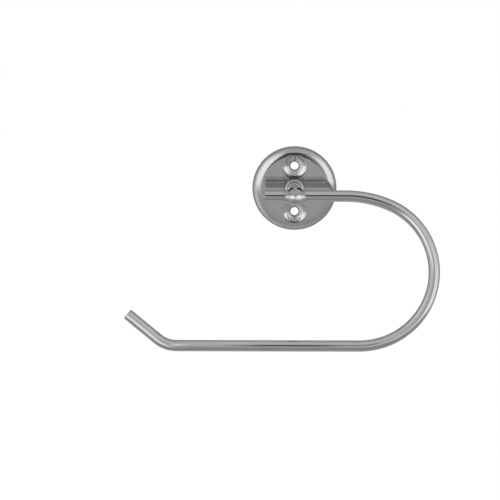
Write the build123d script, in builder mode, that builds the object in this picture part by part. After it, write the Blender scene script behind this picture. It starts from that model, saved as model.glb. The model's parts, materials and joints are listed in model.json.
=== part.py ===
# Toilet roll holder: pressed wall rosette, turned ball post and one bent bar that carries the roll
from build123d import *
from math import cos, radians, sin, tan
import os

os.makedirs("parts", exist_ok=True)

# All sizes in mm. The wall is the plane Y = 0, the front of the holder faces -Y and Z is up.
# Wall rosette, pressed from sheet
plate_diameter = 46.0
sheet = 1.0
skirt_height = 1.5  # straight part of the rim
skirt_draft = 14.0  # rim leans in towards the front
corner_radius = 2.5  # tighter bend down to the skirt
crown_radius = 8.8  # soft edge beside the flat face
crown_angle = 25.0

# Screw dimples, one above the other
screw_spacing = 25.0
screw_hole_diameter = 4.5
dimple_diameter = 14.0  # where the rolled lip leaves the flat face
dimple_lip_radius = 7.7
dimple_cone_slope = 38.0  # against the flat face
dimple_edge_angle = 3.0  # slight crease where the lip leaves the flat face

# Turned post
neck_diameter = 5.0
foot_diameter = 10.4
foot_edge = 1.2
foot_rounding = 1.0
foot_flare_radius = 1.0
ball_diameter = 10.4
ball_neck_blend = 0.6
collar_wall = 0.45
collar_length = 0.2  # collar past the side of the ball
collar_rounding = 0.4
collar_blend = 0.8
spigot_diameter = 4.0
rivet_diameter = 7.0  # spigot peened over behind the sheet
rivet_height = 1.4
rivet_rounding = 0.8

# Bent bar
bar_diameter = 6.0
bar_offset = 40.0  # wall to the middle of the bar
bar_spacing = 80.0  # upper bar to lower bar, middle to middle
overhang = 16.5  # upper bar past the middle of the ball
lead_start = 26.5  # middle of the ball to the start of the gentle lead bend
lead_radius = 58.0
lead_angle = 24.0
tail_corner = 68.5  # middle of the ball to the corner of the tail
tail_bend_radius = 15.5
tail_angle = 40.0
tail_length = 26.5  # corner of the tail to its end
bar_end_chamfer = 0.4

# Play on diameter: bar in its bore, spigot in the plate
fit_clearance = 0.04

plate_radius = plate_diameter / 2
skirt_lean = tan(radians(skirt_draft))
skirt_front = (plate_radius - skirt_height * skirt_lean, -skirt_height)
sheet_in = sheet * cos(radians(skirt_draft))
sheet_back = sheet * sin(radians(skirt_draft))
corner_turn = skirt_draft + crown_angle - 90
corner_drop = corner_radius * (cos(radians(crown_angle)) - sin(radians(skirt_draft)))
crown_drop = crown_radius * (1 - cos(radians(crown_angle)))
plate_height = skirt_height + corner_drop + crown_drop
hole_radius = screw_hole_diameter / 2
lip_way = (-cos(radians(dimple_edge_angle)), sin(radians(dimple_edge_angle)))
lip_turn = dimple_edge_angle - dimple_cone_slope
neck_radius = neck_diameter / 2
foot_radius = foot_diameter / 2
foot_front = -plate_height - foot_edge
collar_reach = ball_diameter / 2 + collar_length
spigot_radius = spigot_diameter / 2
rivet_radius = rivet_diameter / 2
rivet_seat = sheet - plate_height
rivet_back = rivet_seat + rivet_height
bore_radius = (bar_diameter + fit_clearance) / 2
lead_drop = lead_radius * (1 - cos(radians(lead_angle)))
turn_radius = (bar_spacing - lead_drop) / (1 + cos(radians(lead_angle)))
tail_setback = tail_bend_radius * tan(radians(tail_angle / 2))
screw_places = Locations((0, 0, screw_spacing / 2), (0, 0, -screw_spacing / 2))

# Space in front of a screw dimple and through its hole, drawn round the Y axis
with BuildPart() as dimple_space:
    with BuildSketch(Plane.XY):
        with BuildLine():
            lip_start = (dimple_diameter / 2, -plate_height)
            lip = JernArc(lip_start, lip_way, dimple_lip_radius, lip_turn)
            cone_width = (lip @ 1).X - hole_radius
            cone = PolarLine(lip @ 1, cone_width, direction=lip % 1, length_mode=LengthMode.HORIZONTAL)
            Polyline(cone @ 1, (hole_radius, 0), (0, 0), (0, -plate_height - sheet))
            Polyline((0, -plate_height - sheet), (dimple_diameter / 2, -plate_height - sheet), lip_start)
        make_face()
    revolve(axis=Axis.Y)

# The same dimple seen from behind, one sheet thickness further in
with BuildPart() as dimple_boss:
    with BuildSketch(Plane.XY):
        with BuildLine():
            boss_start = (dimple_diameter / 2, sheet - plate_height)
            lip = JernArc(boss_start, lip_way, dimple_lip_radius - sheet, lip_turn)
            cone = PolarLine(lip @ 1, (lip @ 1).X, direction=lip % 1, length_mode=LengthMode.HORIZONTAL)
            Polyline(cone @ 1, (0, -plate_height), (dimple_diameter / 2, -plate_height), boss_start)
        make_face()
    revolve(axis=Axis.Y)

# Hollow behind the sheet
with BuildPart() as plate_hollow:
    with BuildSketch(Plane.XY):
        with BuildLine():
            skirt_inside = (skirt_front[0] - sheet_in, skirt_front[1] + sheet_back)
            skirt_mouth = (skirt_inside[0] - skirt_inside[1] * skirt_lean, 0)
            skirt = Line(skirt_mouth, skirt_inside)
            corner = JernArc(skirt @ 1, skirt % 1, corner_radius - sheet, corner_turn)
            crown = JernArc(corner @ 1, corner % 1, crown_radius - sheet, -crown_angle)
            Polyline(crown @ 1, (0, sheet - plate_height), (0, 0), skirt @ 0)
        make_face()
    revolve(axis=Axis.Y)
    with screw_places:
        add(dimple_boss.part, mode=Mode.SUBTRACT)

with BuildPart() as back_plate:
    with BuildSketch(Plane.XY):
        with BuildLine():
            skirt = Line((plate_radius, 0), skirt_front)
            corner = JernArc(skirt @ 1, skirt % 1, corner_radius, corner_turn)
            crown = JernArc(corner @ 1, corner % 1, crown_radius, -crown_angle)
            Polyline(crown @ 1, (0, -plate_height), (0, 0), skirt @ 0)
        make_face()
    revolve(axis=Axis.Y)
    add(plate_hollow.part, mode=Mode.SUBTRACT)
    with screw_places:
        add(dimple_space.part, mode=Mode.SUBTRACT)
    with Locations(Plane.XZ):
        Hole((spigot_diameter + fit_clearance) / 2)

with BuildPart() as ball_post:
    with BuildSketch(Plane.XY):
        with BuildLine():
            rim_start = (foot_radius, foot_front + foot_rounding)
            rim = JernArc(rim_start, (0, -1), foot_rounding, -90)
            flare_start = (neck_radius + foot_flare_radius, foot_front)
            Line(rim @ 1, flare_start)
            flare = JernArc(flare_start, (-1, 0), foot_flare_radius, 90)
            Polyline(flare @ 1, (neck_radius, -bar_offset), (0, -bar_offset), (0, rivet_back))
            Polyline(
                (0, rivet_back),
                (rivet_radius, rivet_back),
                (rivet_radius, rivet_seat),
                (spigot_radius, rivet_seat),
                (spigot_radius, -plate_height),
                (foot_radius, -plate_height),
                rim_start,
            )
        make_face()
    revolve(axis=Axis.Y)
    fillet(ball_post.edges().group_by(Axis.Y)[-1], rivet_rounding)
    with BuildSketch(Plane.XZ.offset(bar_offset)) as head:
        Circle(ball_diameter / 2)
        Rectangle(2 * collar_reach, bar_diameter + 2 * collar_wall)
        fillet(head.vertices().group_by(Axis.X)[1] + head.vertices().group_by(Axis.X)[2], collar_blend)
        fillet(head.vertices().group_by(Axis.X)[0] + head.vertices().group_by(Axis.X)[-1], collar_rounding)
        Rectangle(2 * collar_reach, ball_diameter, align=(Align.CENTER, Align.MAX), mode=Mode.SUBTRACT)
    revolve(axis=Axis((0, -bar_offset, 0), (1, 0, 0)))
    round_edges = ball_post.edges().filter_by(GeomType.CIRCLE)
    neck_ends = round_edges.filter_by(lambda edge: abs(edge.radius - neck_radius) < fit_clearance)
    fillet(neck_ends.group_by(Axis.Y)[0], ball_neck_blend)
    with Locations((0, -bar_offset, 0)):
        Cylinder(bore_radius, 2 * collar_reach, rotation=(0, 90, 0), mode=Mode.SUBTRACT)

with BuildPart() as roll_bar:
    with BuildLine(Plane.XZ.offset(bar_offset)) as bar_path:
        upper = Line((-overhang, 0), (lead_start, 0))
        lead = JernArc(upper @ 1, upper % 1, lead_radius, -lead_angle)
        turn = JernArc(lead @ 1, lead % 1, turn_radius, lead_angle - 180)
        lower = Line(turn @ 1, (tail_setback - tail_corner, -bar_spacing))
        tail_bend = JernArc(lower @ 1, lower % 1, tail_bend_radius, -tail_angle)
        tail = PolarLine(tail_bend @ 1, tail_length - tail_setback, direction=tail_bend % 1)
    with BuildSketch(Plane(bar_path.line @ 0, z_dir=bar_path.line % 0)):
        Circle(bar_diameter / 2)
    sweep(path=bar_path.line)
    chamfer(roll_bar.faces().filter_by(GeomType.PLANE).edges(), bar_end_chamfer)

back_plate.part.label = "back_plate"
export_step(back_plate.part, "parts/back_plate.step")

ball_post.part.label = "ball_post"
export_step(ball_post.part, "parts/ball_post.step")

roll_bar.part.label = "roll_bar"
export_step(roll_bar.part, "parts/roll_bar.step")
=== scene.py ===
# Bent bar toilet roll holder in polished steel, on a plain white studio ground
import bpy
import json
from math import cos, radians, sin
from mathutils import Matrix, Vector


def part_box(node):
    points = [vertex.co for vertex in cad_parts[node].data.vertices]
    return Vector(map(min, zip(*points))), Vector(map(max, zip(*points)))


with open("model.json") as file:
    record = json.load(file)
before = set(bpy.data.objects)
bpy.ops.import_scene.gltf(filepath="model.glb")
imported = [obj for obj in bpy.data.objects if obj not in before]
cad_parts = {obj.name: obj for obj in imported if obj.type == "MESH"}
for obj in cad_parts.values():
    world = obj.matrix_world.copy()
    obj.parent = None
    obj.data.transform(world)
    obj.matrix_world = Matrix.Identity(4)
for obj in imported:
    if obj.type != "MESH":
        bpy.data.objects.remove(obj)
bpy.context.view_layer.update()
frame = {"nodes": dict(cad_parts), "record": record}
scene = bpy.context.scene
scene.view_settings.view_transform = "Standard"

# All sizes in metres. The wall is the plane Y = 0, the front faces -Y and Z is up.
# Places on the holder, read from the frame
plate_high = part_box("back_plate")[1]
post_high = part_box("ball_post")[1]
bar_low, bar_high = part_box("roll_bar")
mounts = {mount["name"]: mount for mount in frame["record"]["mounts"]}
screws = mounts["wall_screws"]["dims"]
millimetre = 0.001
screw_z = screws["spacing_y_mm"] / 2 * millimetre
hole_radius = screws["hole_r_mm"] * millimetre
plate_radius = plate_high.x
ball_radius = post_high.z
collar_end = post_high.x
bar_radius = (bar_high.y - bar_low.y) / 2
bar_y = (bar_low.y + bar_high.y) / 2
upper_z = bar_high.z - bar_radius
lower_z = bar_low.z + bar_radius
middle_z = (upper_z + lower_z) / 2
turn_x = bar_high.x - bar_radius - (upper_z - lower_z) / 2
tail_end = bar_low.x

# Foot of the post on the rosette, which the frame doesn't give
foot_radius = 0.0052

# Camera, as the photograph was taken: angles in degrees to the right and up
view_point = Vector((-0.02381, -0.04, -0.02863))
view_distance = 0.9
view_azimuth = 0.755
view_elevation = 8.0
lens_mm = 123.0
sensor_mm = 36.0

# Colours of the steel: plain from dark to pale, rubbed bright, and dull in the seams, where the dark
# is partly painted shade
steel_dark = (0.535, 0.537, 0.54, 1.0)
steel_pale = (0.585, 0.586, 0.587, 1.0)
steel_rubbed = (0.68, 0.68, 0.68, 1.0)
# Dark grey of the seams: dull residue, and painted shade in the seams and hollows
steel_grime_and_shade = (0.22, 0.215, 0.21, 1.0)

# Finish of the steel: lowest and highest roughness, and what each kind of mark adds to it
plate_polish = (0.03, 0.055)
post_polish = (0.1, 0.14)
bar_polish = (0.06, 0.1)
smear_roughness = 0.02
wear_roughness = 0.06
grime_roughness = 0.25

# Grain of the steel: length and width of its streaks, and the height of its relief
plate_streak = (0.03, 0.00025)
post_streak = (0.02, 0.0002)
bar_streak = (0.03, 0.00022)
ball_blend = 0.0005  # half the way over which the rings change direction at the ball
relief_strength = 0.02
relief_height = 0.00001

# Noise: how fine each kind of mark is, and the part of its range that shows
smear_scale = 55.0
speck_scale = 1400.0
scratch_scale = 700.0
tone_range = (0.3, 0.7)
grain_range = (0.25, 0.75)
smear_range = (0.45, 0.7)
scratch_range = (0.56, 0.62)

# Marks: how far from an edge each one starts and is full
rim_wear = (0.0012, 0.0002)
driver_wear = (0.0018, 0.0009)
# Painted shade and dull residue inside the screw holes
bore_shade_and_grime = (0.0008, 0.0004)
tail_wear = (0.0035, 0.001)

# Width of the marks that are full at the edge itself
foot_wear_width = 0.0005
foot_seam_width = 0.0008
wall_seam_width = 0.0006
collar_seam_on_post = 0.0003
collar_seam_on_bar = 0.0004

# Strength of the marks: rubbed edges of the rosette follow its grain
edge_wear = 0.1
edge_wear_grain = 0.8
foot_wear = 0.6
bar_wear = 0.5
# Strength of the painted shade and dull residue in the seams: on the rosette, and where the ball
# meets the bar
plate_shade_and_grime = 0.5
collar_shade_and_grime = 0.6

# Heights between which the marks of the bar fade in: on the lower bar, on its top, on the upper bar
lower_bar_range = (lower_z + bar_radius, lower_z + bar_radius / 2)
lower_top_range = (lower_z, lower_z + bar_radius * 0.8)
upper_bar_range = (upper_z - bar_radius * 2, upper_z - bar_radius * 1.5)

# Studio: floor, lamp, and round shells that the steel mirrors, each inside the one before
sky_colour = (1.0, 1.0, 1.0, 1.0)
sky_light = 0.5
floor_z = -1.0
floor_size = 60.0
floor_colour = (0.8, 0.8, 0.8, 1.0)
floor_glow = 0.6
lamp_place = Vector((-0.6, -0.6, 1.4))
lamp_size = 1.2
lamp_power = 8.0
wall_distance = 0.95
plate_shell = 0.94
post_shell = 0.93
bar_shell = 0.92
shell_columns = 72
shell_rows = 36

# Light of the room, from the ground at 0 to the ceiling at 1, in front of each piece and behind it
plate_room = (
    (0.0, 0.56), (0.16, 0.53), (0.3, 0.4), (0.39, 0.43), (0.45, 0.48), (0.48, 0.5),
    (0.52, 0.55), (0.67, 0.6), (0.83, 0.6), (0.94, 0.48), (1.0, 0.42),
)
post_room = (
    (0.0, 0.28), (0.17, 0.34), (0.24, 0.44), (0.32, 0.55), (0.37, 0.75),
    (0.41, 0.88), (0.445, 0.98), (0.5, 0.92), (0.53, 0.6), (0.55, 0.42),
    (0.6, 0.46), (0.67, 0.52), (0.81, 0.58), (0.94, 0.4), (1.0, 0.35),
)
bar_room = (
    (0.0, 0.4), (0.12, 0.37), (0.22, 0.36), (0.3, 0.43), (0.39, 0.47),
    (0.46, 0.58), (0.56, 0.64), (0.72, 0.72), (1.0, 0.7),
)
plate_rear = ((0.0, 0.4), (0.34, 0.28), (0.5, 0.31), (0.66, 0.31), (1.0, 0.42))
room_rear = ((0.0, 0.52), (0.12, 0.56), (0.3, 0.42), (0.4, 0.36), (0.5, 0.42), (0.7, 0.3), (1.0, 0.6))

# Where the room in front gives way to the room behind, in turns from straight ahead
straight_ahead = 0.5
rear_range = (0.22, 0.32)

# Patches that each piece mirrors: degrees to the right, degrees up, level, and the softness of
# the left, right, lower and upper edge
plate_patches = (
    ((-120, -28), (-80, 60), 0.78, (45, 18, 22, 20)),
    ((32, 115), (0, 54), 0.84, (12, 45, 6, 25)),
    ((-60, -7), (-10, 47), 1.42, (26, 9, 14, 26)),
    ((16, 66), (-5, 40), 1.4, (14, 28, 9, 22)),
    ((-11, 20), (-1, 33), 0.07, (8, 14, 5, 9)),
)
post_patches = (
    ((-84, -4), (-34, 16), 1.55, (50, 16, 18, 12)),
    ((4, 100), (-36, 20), 1.55, (20, 56, 20, 14)),
    ((-9, 25), (4, 13), 0.08, (6, 6, 3, 5)),
    ((-162, -100), (31, 74), 0.02, (12, 12, 8, 8)),
    ((100, 162), (31, 74), 0.02, (12, 12, 8, 8)),
)
bar_patches = (
    ((12, 115), (-35, 75), 0.82, (22, 30, 8, 55)),
    ((13, 92), (-36, 16), 1.3, (22, 26, 9, 36)),
    ((-105, -12), (-47, 65), 0.8, (28, 26, 8, 40)),
    ((-92, -40), (2, 40), 1.0, (16, 20, 14, 16)),
    ((-66, -14), (-43, -6), 1.12, (34, 12, 12, 20)),
    ((-34, -6), (-40, -8), 1.36, (12, 5, 10, 7)),
    ((-3, 17), (-4, 36), 0.09, (3, 6, 6, 12)),
    ((8, 30), (5, 36), 0.09, (4, 16, 6, 12)),
)

# Small cards that only the bar mirrors: a corner, two sides, level and softness of the edges
# as shares of the sides. Three stand in front of the bar and one behind it.
card_y = -0.065
tail_card = (
    Vector((-0.0705, card_y, -0.0861)),
    Vector((-0.0264, 0.0, 0.0221)),
    Vector((0.0183, 0.0, 0.0218)),
    0.5,
    (0.12, 0.08, 0.18, 0.4),
)
turn_card = (
    Vector((0.006, card_y, -0.0826)),
    Vector((0.066, 0.0, -0.01)),
    Vector((0.0, 0.0, 0.024)),
    0.29,
    (0.42, 0.25, 0.3, 0.36),
)
upper_turn_card = (
    Vector((0.0412, card_y, -0.0264)),
    Vector((0.0104, 0.0, -0.0219)),
    Vector((0.0222, 0.0, 0.0216)),
    0.55,
    (0.22, 0.6, 0.3, 0.35),
)
rear_card = (
    Vector((-0.024, -0.0058, -0.014)),
    Vector((0.048, 0.0, 0.0)),
    Vector((0.0, 0.0, 0.028)),
    0.5,
    (0.15, 0.15, 0.2, 0.2),
)


def add(tree, kind, inputs=None, **settings):
    """A new shader node, with its settings, and inputs that are values or other nodes' sockets."""
    node = tree.nodes.new("ShaderNode" + kind)
    for key, value in settings.items():
        setattr(node, key, value)
    for key, value in (inputs or {}).items():
        if isinstance(value, bpy.types.NodeSocket):
            tree.links.new(value, node.inputs[key])
        else:
            node.inputs[key].default_value = value
    return node


def calc(tree, operation, *values):
    """The output of a math node."""
    return add(tree, "Math", dict(enumerate(values)), operation=operation).outputs[0]


def product(tree, first, *others):
    """Several values, multiplied."""
    for other in others:
        first = calc(tree, "MULTIPLY", first, other)
    return first


def band(tree, value, start, end, low=0.0, high=1.0):
    """A smooth step of a value from low at start to high at end."""
    inputs = {"Value": value, "From Min": start, "From Max": end, "To Min": low, "To Max": high}
    return add(tree, "MapRange", inputs, interpolation_type="SMOOTHSTEP").outputs["Result"]


def noise(tree, place, **inputs):
    """A noise texture from 0 to 1, with inputs named as on its node."""
    return add(tree, "TexNoise", {"Vector": place, **inputs}).outputs["Fac"]


def ramp(tree, value, levels):
    """Grey levels along a value from 0 to 1, at the given places."""
    node = add(tree, "ValToRGB", {"Fac": value})
    steps = node.color_ramp.elements
    while len(steps) < len(levels):
        steps.new(1.0)
    for step, (position, level) in zip(steps, levels):
        step.position = position
        step.color = (level, level, level, 1.0)
    return node.outputs[0]


def empty_material(name):
    """A material with an empty node tree."""
    material = bpy.data.materials.new(name)
    material.use_nodes = True
    material.node_tree.nodes.clear()
    return material


def object_place(tree):
    """The surface point in the holder's own frame, as one vector and as x, y and z."""
    place = add(tree, "TexCoord").outputs["Object"]
    return place, add(tree, "SeparateXYZ", {0: place}).outputs


def distance_to(tree, first, second, first_middle, second_middle):
    """Distance from an axis, from the two coordinates across it."""
    first_off = calc(tree, "SUBTRACT", first, first_middle)
    second_off = calc(tree, "SUBTRACT", second, second_middle)
    second_square = calc(tree, "MULTIPLY", second_off, second_off)
    return calc(tree, "SQRT", calc(tree, "MULTIPLY_ADD", first_off, first_off, second_square))


def grain_noise(tree, along, across, depth, streak):
    """Fine streaks that run in one direction, from 0 to 1."""
    streak_length, streak_width = streak
    scaled = [calc(tree, "DIVIDE", along, streak_length)]
    scaled += [calc(tree, "DIVIDE", value, streak_width) for value in (across, depth)]
    place = add(tree, "CombineXYZ", dict(enumerate(scaled))).outputs[0]
    return noise(tree, place, Scale=1.0, Detail=3.0, Roughness=0.6)


def finish_steel(material, place, grain, wear, shade_and_grime, polish):
    """Polished steel with fine grain, faint hand smears, brighter rubbed edges, and seams dulled and
    darkened with painted shade.
    """
    tree = material.node_tree
    smear = noise(tree, place, Scale=smear_scale, Detail=5.0, Roughness=0.55)
    speck = noise(tree, place, Scale=speck_scale, Detail=2.0)
    tone = add(tree, "ValToRGB", {"Fac": smear})
    for step, position, colour in zip(tone.color_ramp.elements, tone_range, (steel_dark, steel_pale)):
        step.position = position
        step.color = colour
    rubbed = add(tree, "MixRGB", {"Fac": wear, "Color1": tone.outputs[0], "Color2": steel_rubbed})
    # Seams turn dark grey: painted shade, with dull residue
    shaded_and_dulled = add(tree, "MixRGB", {"Fac": shade_and_grime, "Color1": rubbed.outputs[0], "Color2": steel_grime_and_shade})
    roughness = band(tree, grain, *grain_range, *polish)
    smeared = band(tree, smear, *smear_range)
    for mark, rise in ((smeared, smear_roughness), (wear, wear_roughness), (shade_and_grime, grime_roughness)):
        roughness = calc(tree, "MULTIPLY_ADD", mark, rise, roughness)
    relief = {"Strength": relief_strength, "Distance": relief_height}
    grained = add(tree, "Bump", {"Height": grain, **relief})
    pitted = add(tree, "Bump", {"Height": speck, "Normal": grained.outputs[0], **relief})
    steel = add(tree, "BsdfPrincipled", {
        "Base Color": shaded_and_dulled.outputs[0],
        "Metallic": 1.0,
        "Roughness": roughness,
        "Normal": pitted.outputs[0],
    })
    add(tree, "OutputMaterial", {"Surface": steel.outputs[0]})
    return material


def plate_steel():
    """Pressed rosette: spun polishing rings, rubbed rim, driver marks round the screw holes, and
    painted shade with dull residue at the foot of the post, at the back edge and in the screw holes.
    """
    material = empty_material("rosette_steel")
    tree = material.node_tree
    place, (x, y, z) = object_place(tree)
    radius = distance_to(tree, x, z, 0.0, 0.0)
    turn = calc(tree, "MULTIPLY", calc(tree, "ARCTAN2", z, x), plate_radius)
    grain = grain_noise(tree, turn, radius, y, plate_streak)
    upper_hole = distance_to(tree, x, z, 0.0, screw_z)
    lower_hole = distance_to(tree, x, z, 0.0, -screw_z)
    hole = calc(tree, "MINIMUM", upper_hole, lower_hole)
    rim = band(tree, radius, *(plate_radius - way for way in rim_wear))
    driver = band(tree, hole, *(hole_radius + way for way in driver_wear))
    bore = band(tree, hole, *(hole_radius + way for way in bore_shade_and_grime))
    uneven = calc(tree, "MULTIPLY_ADD", grain, edge_wear_grain, edge_wear)
    wear = product(tree, calc(tree, "MAXIMUM", rim, driver), uneven)
    # Painted shade with dull residue: round the foot of the post, at the back edge where the rosette
    # meets the wall as a painted contact shadow, and in the screw holes
    foot_seam = band(tree, radius, foot_radius + foot_seam_width, foot_radius)
    wall_seam = band(tree, y, -wall_seam_width, 0.0)
    seam = product(tree, calc(tree, "MAXIMUM", foot_seam, wall_seam), plate_shade_and_grime)
    shade_and_grime = calc(tree, "MAXIMUM", seam, bore)
    return finish_steel(material, place, grain, wear, shade_and_grime, plate_polish)


def post_steel():
    """Turned post: tool rings round the neck and, on the ball, round the bar, and painted shade with
    dull residue at the collar.
    """
    material = empty_material("turned_steel")
    tree = material.node_tree
    place, (x, y, z) = object_place(tree)
    ball_back = bar_y + ball_radius
    on_ball = band(tree, y, ball_back + ball_blend, ball_back - ball_blend)
    axial = add(tree, "Mix", {0: on_ball, 2: y, 3: x}).outputs[0]
    grain = grain_noise(tree, z, axial, axial, post_streak)
    radius = distance_to(tree, x, z, 0.0, 0.0)
    foot = band(tree, radius, foot_radius - foot_wear_width, foot_radius)
    wear = product(tree, foot, foot_wear)
    # Painted shade with dull residue at the collar, where the bar goes into the ball
    collar = band(tree, calc(tree, "ABSOLUTE", x), collar_end - collar_seam_on_post, collar_end)
    shade_and_grime = product(tree, collar, collar_shade_and_grime)
    return finish_steel(material, place, grain, wear, shade_and_grime, post_polish)


def bar_steel():
    """Bent bar: drawn lines along its length, light scratches where the roll turns, and painted shade
    with dull residue on the upper bar beside the collar.
    """
    material = empty_material("bar_steel_polished")
    tree = material.node_tree
    place, (x, y, z) = object_place(tree)
    beyond = calc(tree, "MAXIMUM", calc(tree, "SUBTRACT", x, turn_x), 0.0)
    across = distance_to(tree, beyond, z, 0.0, middle_z)
    grain = grain_noise(tree, calc(tree, "ADD", x, z), across, y, bar_streak)
    on_lower = band(tree, z, *lower_bar_range)
    top_side = band(tree, z, *lower_top_range)
    scratch = noise(tree, place, Scale=scratch_scale, Detail=4.0, Distortion=1.5)
    rubbed = product(tree, on_lower, top_side, band(tree, scratch, *scratch_range))
    end = band(tree, x, *(tail_end + way for way in tail_wear))
    wear = product(tree, calc(tree, "MAXIMUM", rubbed, end), bar_wear)
    # Painted shade with dull residue on the upper bar, next to the collar of the ball
    near_collar = band(tree, calc(tree, "ABSOLUTE", x), collar_end + collar_seam_on_bar, collar_end)
    on_upper = band(tree, z, *upper_bar_range)
    shade_and_grime = product(tree, near_collar, on_upper, collar_shade_and_grime)
    return finish_steel(material, place, grain, wear, shade_and_grime, bar_polish)


def direction(azimuth, elevation):
    """The way from the holder to the front, turned to the right and up by degrees."""
    aside, up = radians(azimuth), radians(elevation)
    return Vector((sin(aside) * cos(up), -cos(aside) * cos(up), sin(up)))


def reflector(name, points, faces, places):
    """A surface that only reflections show, with a place (u, v) for each point, and its node tree."""
    mesh = bpy.data.meshes.new(name)
    mesh.from_pydata(points, [], faces)
    layer = mesh.uv_layers.new(name="place")
    for loop in mesh.loops:
        layer.data[loop.index].uv = places[loop.vertex_index]
    material = empty_material(name)
    mesh.materials.append(material)
    surface = bpy.data.objects.new(name, mesh)
    scene.collection.objects.link(surface)
    surface.visible_camera = False
    surface.visible_diffuse = False
    surface.visible_shadow = False
    return surface, material.node_tree


def reflector_place(tree):
    """The place on a reflector, as u and v."""
    place = add(tree, "UVMap", uv_map="place").outputs[0]
    return add(tree, "SeparateXYZ", {0: place}).outputs[:2]


def mirrored_by(surface, node):
    """Lets one piece of the holder alone mirror a reflector."""
    receivers = bpy.data.collections.new(surface.name + "_mirror")
    receivers.objects.link(frame["nodes"][node])
    surface.light_linking.receiver_collection = receivers


def add_light(tree, level):
    """A clear surface that adds its own light to what lies behind it."""
    light = add(tree, "Emission", {"Strength": level})
    clear = add(tree, "BsdfTransparent")
    both = add(tree, "AddShader", {0: clear.outputs[0], 1: light.outputs[0]})
    add(tree, "OutputMaterial", {"Surface": both.outputs[0]})


def soft_box(tree, u, v, u_range, v_range, feather):
    """1 inside a range of u and v and 0 outside, soft at its left, right, lower and upper edge."""
    return product(
        tree,
        band(tree, u, u_range[0], u_range[0] + feather[0]),
        band(tree, u, u_range[1], u_range[1] - feather[1]),
        band(tree, v, v_range[0], v_range[0] + feather[2]),
        band(tree, v, v_range[1], v_range[1] - feather[3]),
    )


def shell(name, distance):
    """A round shell about the holder, and its empty node tree."""
    points, faces, places = [], [], []
    for row in range(shell_rows + 1):
        for column in range(shell_columns + 1):
            u, v = column / shell_columns, row / shell_rows
            points.append(view_point + direction(u * 360 - 180, v * 180 - 90) * distance)
            places.append((u, v))
    for row in range(shell_rows):
        for column in range(shell_columns):
            first = row * (shell_columns + 1) + column
            above = first + shell_columns + 1
            faces.append((first, first + 1, above + 1, above))
    return reflector(name, points, faces, places)


def room_shine(tree, heading, height, front, rear):
    """Light of the room, from the ground up to the ceiling, in front of the holder and behind it."""
    front_light = ramp(tree, height, front)
    rear_light = ramp(tree, height, rear)
    turned = calc(tree, "ABSOLUTE", calc(tree, "SUBTRACT", heading, straight_ahead))
    behind = band(tree, turned, *rear_range)
    return add(tree, "Mix", {0: behind, 2: front_light, 3: rear_light}).outputs[0]


def surroundings(node, distance, front, rear, patches):
    """What one piece mirrors: the room, with patches of light and dark."""
    dome, tree = shell(node + "_surroundings", distance)
    u, v = reflector_place(tree)
    level = room_shine(tree, u, v, front, rear)
    for azimuths, elevations, patch_level, feather in patches:
        u_range = [(angle + 180) / 360 for angle in azimuths]
        v_range = [(angle + 90) / 180 for angle in elevations]
        edges = [angle / 360 for angle in feather[:2]] + [angle / 180 for angle in feather[2:]]
        mask = soft_box(tree, u, v, u_range, v_range, edges)
        level = add(tree, "Mix", {0: mask, 2: level, 3: patch_level}).outputs[0]
    add_light(tree, level)
    mirrored_by(dome, node)


def bar_card(name, corner, along, across, level, feather):
    """A small white card close to the bar, soft at its edges, that only the bar mirrors."""
    corners = [corner, corner + along, corner + along + across, corner + across]
    card, tree = reflector(name, corners, [(0, 1, 2, 3)], [(0, 0), (1, 0), (1, 1), (0, 1)])
    u, v = reflector_place(tree)
    mask = soft_box(tree, u, v, (0.0, 1.0), (0.0, 1.0), feather)
    add_light(tree, product(tree, mask, level))
    mirrored_by(card, "roll_bar")


def white_rays(tree):
    """1 for what the camera sees straight, mirrored or through glass, and 0 for light on things."""
    path = add(tree, "LightPath").outputs
    seen = calc(tree, "MAXIMUM", path["Is Camera Ray"], path["Is Glossy Ray"])
    return calc(tree, "MAXIMUM", seen, path["Is Transmission Ray"])


def build_sky():
    """White to look at, with softer light on things."""
    world = bpy.data.worlds.new("studio")
    world.use_nodes = True
    tree = world.node_tree
    tree.nodes.clear()
    soft = add(tree, "Background", {"Color": sky_colour, "Strength": sky_light})
    plain = add(tree, "Background", {"Color": sky_colour, "Strength": 1.0})
    both = add(tree, "MixShader", {0: white_rays(tree), 1: soft.outputs[0], 2: plain.outputs[0]})
    add(tree, "OutputWorld", {"Surface": both.outputs[0]})
    scene.world = world


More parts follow.
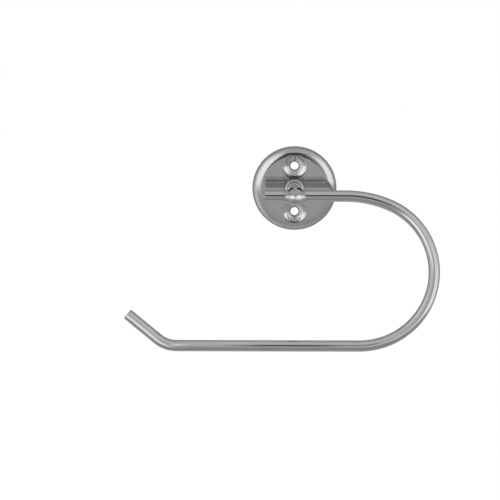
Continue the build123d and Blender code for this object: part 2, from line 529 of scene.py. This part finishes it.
def build_floor():
    """A pale floor far below the holder."""
    bpy.ops.mesh.primitive_plane_add(size=floor_size, location=(0, 0, floor_z))
    floor = bpy.context.object
    floor.name = "floor"
    material = empty_material("floor")
    tree = material.node_tree
    paper = add(tree, "BsdfDiffuse", {"Color": floor_colour})
    glow = add(tree, "Emission", {"Strength": product(tree, white_rays(tree), floor_glow)})
    sheet = add(tree, "AddShader", {0: paper.outputs[0], 1: glow.outputs[0]})
    add(tree, "OutputMaterial", {"Surface": sheet.outputs[0]})
    floor.data.materials.append(material)


def build_lamp():
    """A soft lamp up on the left that the steel doesn't mirror."""
    lamp = bpy.data.objects.new("lamp", bpy.data.lights.new("lamp", "AREA"))
    lamp.data.size = lamp_size
    lamp.data.energy = lamp_power
    lamp.location = lamp_place
    lamp.rotation_mode = "QUATERNION"
    lamp.rotation_quaternion = (view_point - lamp_place).to_track_quat("-Z", "Y")
    lamp.visible_glossy = False
    scene.collection.objects.link(lamp)


def build_reflections():
    """A dark wall all round, and in front of it what each piece mirrors."""
    tree = shell("studio_wall", wall_distance)[1]
    dark = add(tree, "Emission", {"Strength": 0.0})
    add(tree, "OutputMaterial", {"Surface": dark.outputs[0]})
    surroundings("back_plate", plate_shell, plate_room, plate_rear, plate_patches)
    surroundings("ball_post", post_shell, post_room, room_rear, post_patches)
    surroundings("roll_bar", bar_shell, bar_room, room_rear, bar_patches)
    bar_card("tail_card", *tail_card)
    bar_card("turn_card", *turn_card)
    bar_card("upper_turn_card", *upper_turn_card)
    bar_card("rear_card", *rear_card)


def build_camera():
    """The camera that took the photograph."""
    back = direction(view_azimuth, view_elevation)
    camera = bpy.data.objects.new("camera", bpy.data.cameras.new("camera"))
    camera.data.sensor_width = sensor_mm
    camera.data.lens = lens_mm
    camera.location = view_point + back * view_distance
    camera.rotation_mode = "QUATERNION"
    camera.rotation_quaternion = (-back).to_track_quat("-Z", "Y")
    scene.collection.objects.link(camera)
    scene.camera = camera


frame["nodes"]["back_plate"].material_slots[0].material = plate_steel()
frame["nodes"]["ball_post"].material_slots[0].material = post_steel()
frame["nodes"]["roll_bar"].material_slots[0].material = bar_steel()
build_sky()
build_floor()
build_lamp()
build_reflections()
build_camera()
